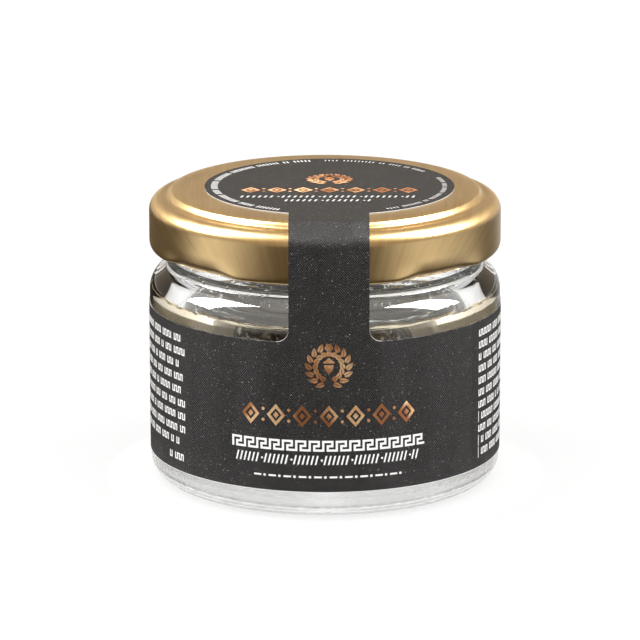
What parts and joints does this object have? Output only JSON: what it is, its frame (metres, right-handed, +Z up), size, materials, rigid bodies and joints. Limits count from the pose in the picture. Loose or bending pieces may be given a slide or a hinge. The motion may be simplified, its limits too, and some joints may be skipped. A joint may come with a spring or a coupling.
{
  "type": "jar of preserved black truffle",
  "caption": "Small sealed glass jar with a twist-off lid and a paper label running up over the lid, holding a whole preserved black truffle in its juice.",
  "frame": {"origin": "centre of the jar's base, on the surface it stands on", "axes": "+Z up along the jar's axis, -Y towards the front, where the label's strip runs up over the lid; +X to the right"},
  "size_m": [0.0514, 0.0518, 0.0435],
  "materials": {
    "clear_glass": "polished",
    "gold_lid": "satin",
    "sealing_compound": "matte",
    "label_paper": "matte",
    "truffle_skin": "matte",
    "truffle_juice": "gloss"
  },
  "bodies": {
    "root": {"glass_jar": "clear_glass", "lid": "gold_lid", "lid_gasket": "sealing_compound", "label": "label_paper", "truffle": "truffle_skin", "juice": "truffle_juice"}
  },
  "joints": []
}
